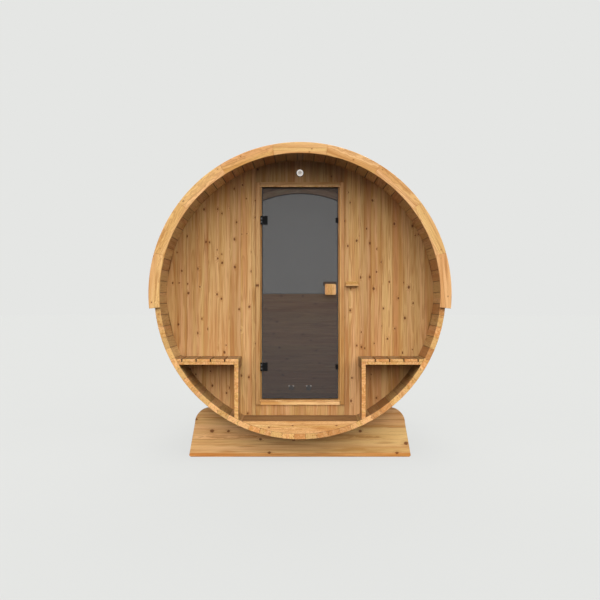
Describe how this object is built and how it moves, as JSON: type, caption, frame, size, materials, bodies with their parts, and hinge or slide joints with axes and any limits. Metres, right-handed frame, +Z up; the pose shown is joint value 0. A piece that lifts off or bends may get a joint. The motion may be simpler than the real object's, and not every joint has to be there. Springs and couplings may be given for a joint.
{
  "type": "barrel sauna",
  "caption": "Round staved timber barrel cabin lying on two cradles, with an open porch, benches, a hinged glass door and a half-moon rear window.",
  "frame": {"origin": "on the ground under the middle of the barrel, at the centre of the cradles' base plane", "axes": "+Z up, -Y out of the front (porch) end, +X to the right of someone facing the door"},
  "size_m": [2.1396, 1.954, 2.2698],
  "materials": {
    "spruce": "natural sawn and planed softwood with small knots",
    "hoop_steel": "satin",
    "black_metal": "satin",
    "tinted_glass": "clear, grey-bronze tint",
    "lamp_white": "gloss",
    "lamp_lens": "matte",
    "dark_plastic": "matte"
  },
  "bodies": {
    "hut": {"bottom_staves": "spruce", "left_staves": "spruce", "right_staves": "spruce", "top_staves": "spruce", "roof_ribs": "spruce", "roof_boards": "spruce", "front_fascia": "spruce", "rear_fascia": "spruce", "front_hoop": "hoop_steel", "rear_hoop": "hoop_steel", "front_wall_left": "spruce", "front_wall_right": "spruce", "front_wall_head": "spruce", "front_wall_sill": "spruce", "door_stile_left": "spruce", "door_stile_right": "spruce", "door_head": "spruce", "door_threshold": "spruce", "back_wall_lower": "spruce", "back_window_arch": "spruce", "back_window_glass": "tinted_glass", "porch_floor": "spruce", "kick_board": "spruce", "porch_bearers": "spruce", "room_floor": "spruce", "room_bearers": "spruce", "left_bench_slats": "spruce", "left_bench_frame": "spruce", "right_bench_slats": "spruce", "right_bench_frame": "spruce", "front_cradle": "spruce", "rear_cradle": "spruce", "porch_light_housing": "lamp_white", "porch_light_lens": "lamp_lens", "wall_peg": "spruce", "low_vents": "dark_plastic", "hinge_frame_leaves": "black_metal"},
    "door": {"door_glass": "tinted_glass", "door_hinge_clamps": "black_metal", "door_latch_plates": "black_metal", "outer_handle": "spruce", "inner_handle": "spruce"}
  },
  "joints": [
    {"name": "door_hinge", "type": "hinge", "parent": "hut", "child": "door", "pos_m": [-0.287, -0.642, 1.2025], "axis": [0, 0, -1], "range_deg": [0, 100]}
  ]
}
